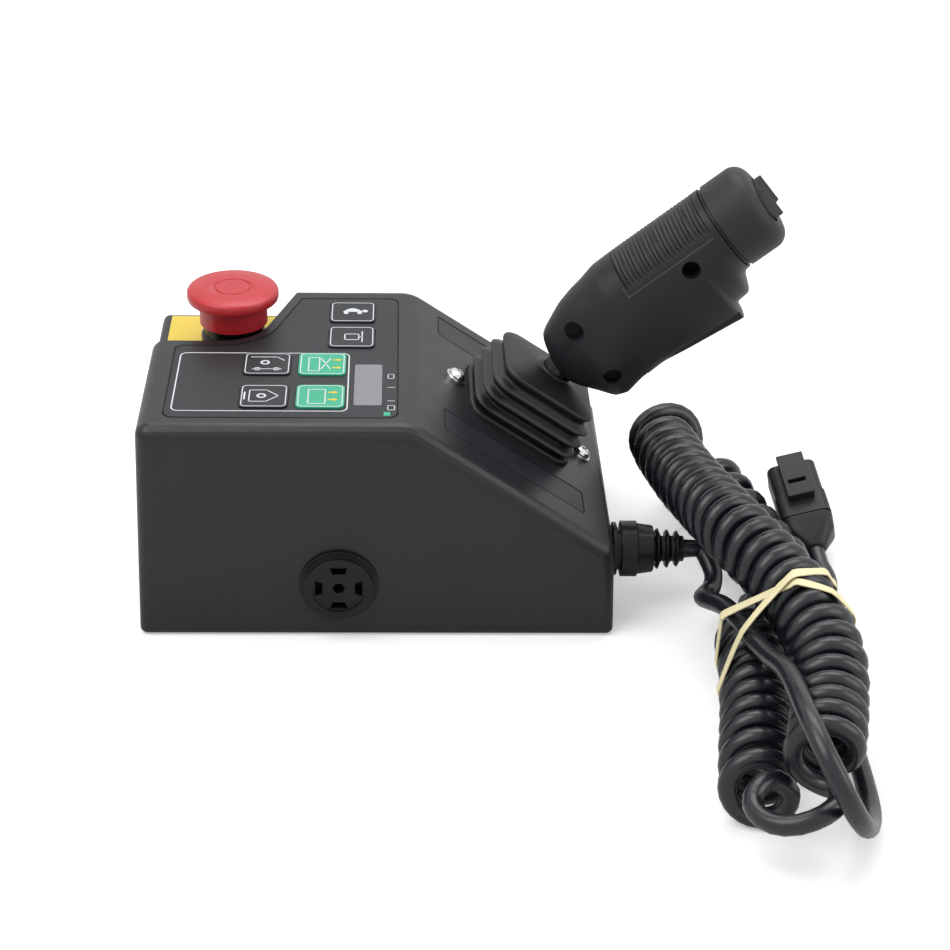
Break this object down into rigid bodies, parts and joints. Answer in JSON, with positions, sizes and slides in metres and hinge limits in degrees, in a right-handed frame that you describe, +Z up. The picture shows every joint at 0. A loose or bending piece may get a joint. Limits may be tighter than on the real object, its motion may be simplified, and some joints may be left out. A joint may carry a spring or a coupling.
{
  "type": "scissor lift control box",
  "caption": "Black handheld control box with a mushroom stop button, keypad deck, grip joystick in a square bellows boot, round sounder and a bundled curly cord ending in a plug.",
  "frame": {"origin": "centre of the box base underside", "axes": "+X along the box from the operator end to the cable end, +Y across it towards the stop button side, +Z up"},
  "size_m": [0.3044, 0.3055, 0.1825],
  "materials": {
    "housing": "fine matt moulded",
    "dark_plastic": "matt moulded",
    "seal": "soft rubber",
    "steel": "zinc plated",
    "overlay": "satin film",
    "display": "clear satin window",
    "module": "plain moulded",
    "board": "lacquered board",
    "switch_black": "plain moulded",
    "yellow_plate": "printed plate",
    "black_gloss": "semi gloss moulded",
    "stop_red": "semi gloss moulded",
    "key_green": "satin film",
    "key_grey": "satin film",
    "chrome_screw": "bright plated",
    "boot_rubber": "soft satin rubber",
    "dark_metal": "blackened steel",
    "grip_plastic": "fine matt moulded",
    "cap_rubber": "soft matt rubber",
    "cord_rubber": "satin rubber sheath",
    "band_rubber": "natural rubber"
  },
  "bodies": {
    "box": {"housing_shell": "housing", "base_plate": "dark_plastic", "base_gasket": "seal", "base_screws": "steel", "overlay_panel": "overlay", "display_window": "display", "display_module": "module", "keypad_board": "board", "board_screws": "steel", "key_switches": "switch_black", "stop_label_plate": "yellow_plate", "stop_collar": "black_gloss", "stop_locknut": "dark_plastic", "stop_contact_block": "module", "stop_spring": "steel", "alarm_bezel": "black_gloss", "alarm_body": "dark_plastic", "alarm_nut": "dark_plastic", "slope_labels": "overlay", "joystick_base": "dark_plastic", "pivot_pin": "steel", "sensor_board": "board", "joystick_screws": "chrome_screw", "joystick_washers": "steel", "joystick_boot": "boot_rubber", "gland_locknut": "dark_plastic", "gland_body": "black_gloss", "gland_tail": "cord_rubber", "cord_lead_box": "cord_rubber", "cord_curls": "cord_rubber", "cord_lead_plug": "cord_rubber", "plug_boot": "dark_plastic", "plug_housing": "dark_plastic", "plug_latch": "dark_plastic", "band_lower": "band_rubber", "band_upper": "band_rubber"},
    "stop_plunger_body": {"stop_plunger": "dark_plastic"},
    "stop_head_body": {"stop_head": "stop_red"},
    "lever": {"lever_shaft": "dark_metal", "grip_near": "grip_plastic", "grip_far": "grip_plastic", "grip_screws": "dark_metal", "cap_ring": "dark_plastic", "thumb_cap": "cap_rubber", "rocker_base": "dark_plastic", "rocker_pin": "steel", "trigger_pin": "steel", "trigger_switch": "switch_black", "trigger_spring": "steel"},
    "trigger_body": {"trigger": "dark_plastic"},
    "rocker_body": {"thumb_rocker": "cap_rubber"},
    "key_lift_near_body": {"key_lift_near": "key_green"},
    "key_lift_far_body": {"key_lift_far": "key_green"},
    "key_drive_near_body": {"key_drive_near": "key_grey"},
    "key_drive_far_body": {"key_drive_far": "key_grey"},
    "key_speed_body": {"key_speed": "key_grey"},
    "key_horn_body": {"key_horn": "key_grey"}
  },
  "joints": [
    {"name": "stop_press", "type": "slide", "parent": "box", "child": "stop_plunger_body", "axis": [0, 0, -1], "range_m": [0, 0.0045], "deforming": ["stop_spring"]},
    {"name": "stop_twist", "type": "hinge", "parent": "stop_plunger_body", "child": "stop_head_body", "pos_m": [-0.064, 0.0335, 0.1], "axis": [0, 0, -1], "range_deg": [0, 30], "stiffness_Nm_per_rad": 0.02},
    {"name": "key_lift_near_press", "type": "slide", "parent": "box", "child": "key_lift_near_body", "axis": [0, 0, -1], "range_m": [0, 0.0005], "stiffness_N_per_m": 1500},
    {"name": "key_lift_far_press", "type": "slide", "parent": "box", "child": "key_lift_far_body", "axis": [0, 0, -1], "range_m": [0, 0.0005], "stiffness_N_per_m": 1500},
    {"name": "key_drive_near_press", "type": "slide", "parent": "box", "child": "key_drive_near_body", "axis": [0, 0, -1], "range_m": [0, 0.0005], "stiffness_N_per_m": 1500},
    {"name": "key_drive_far_press", "type": "slide", "parent": "box", "child": "key_drive_far_body", "axis": [0, 0, -1], "range_m": [0, 0.0005], "stiffness_N_per_m": 1500},
    {"name": "key_speed_press", "type": "slide", "parent": "box", "child": "key_speed_body", "axis": [0, 0, -1], "range_m": [0, 0.0005], "stiffness_N_per_m": 1500},
    {"name": "key_horn_press", "type": "slide", "parent": "box", "child": "key_horn_body", "axis": [0, 0, -1], "range_m": [0, 0.0005], "stiffness_N_per_m": 1500},
    {"name": "lever_tilt", "type": "hinge", "parent": "box", "child": "lever", "pos_m": [0.05298, 0.0035, 0.05498], "axis": [0, 1, 0], "range_deg": [-20, 20], "stiffness_Nm_per_rad": 6, "deforming": ["joystick_boot"]},
    {"name": "trigger_pull", "type": "hinge", "parent": "lever", "child": "trigger_body", "pos_m": [0.11146, 0.0035, 0.09255], "axis": [0, 1, 0], "range_deg": [-6, 0], "stiffness_Nm_per_rad": 0.6, "deforming": ["trigger_spring"]},
    {"name": "thumb_rock", "type": "hinge", "parent": "lever", "child": "rocker_body", "pos_m": [0.14966, 0.0035, 0.16106], "axis": [0.6293, 0, -0.7772], "range_deg": [-6, 6], "stiffness_Nm_per_rad": 0.1}
  ]
}
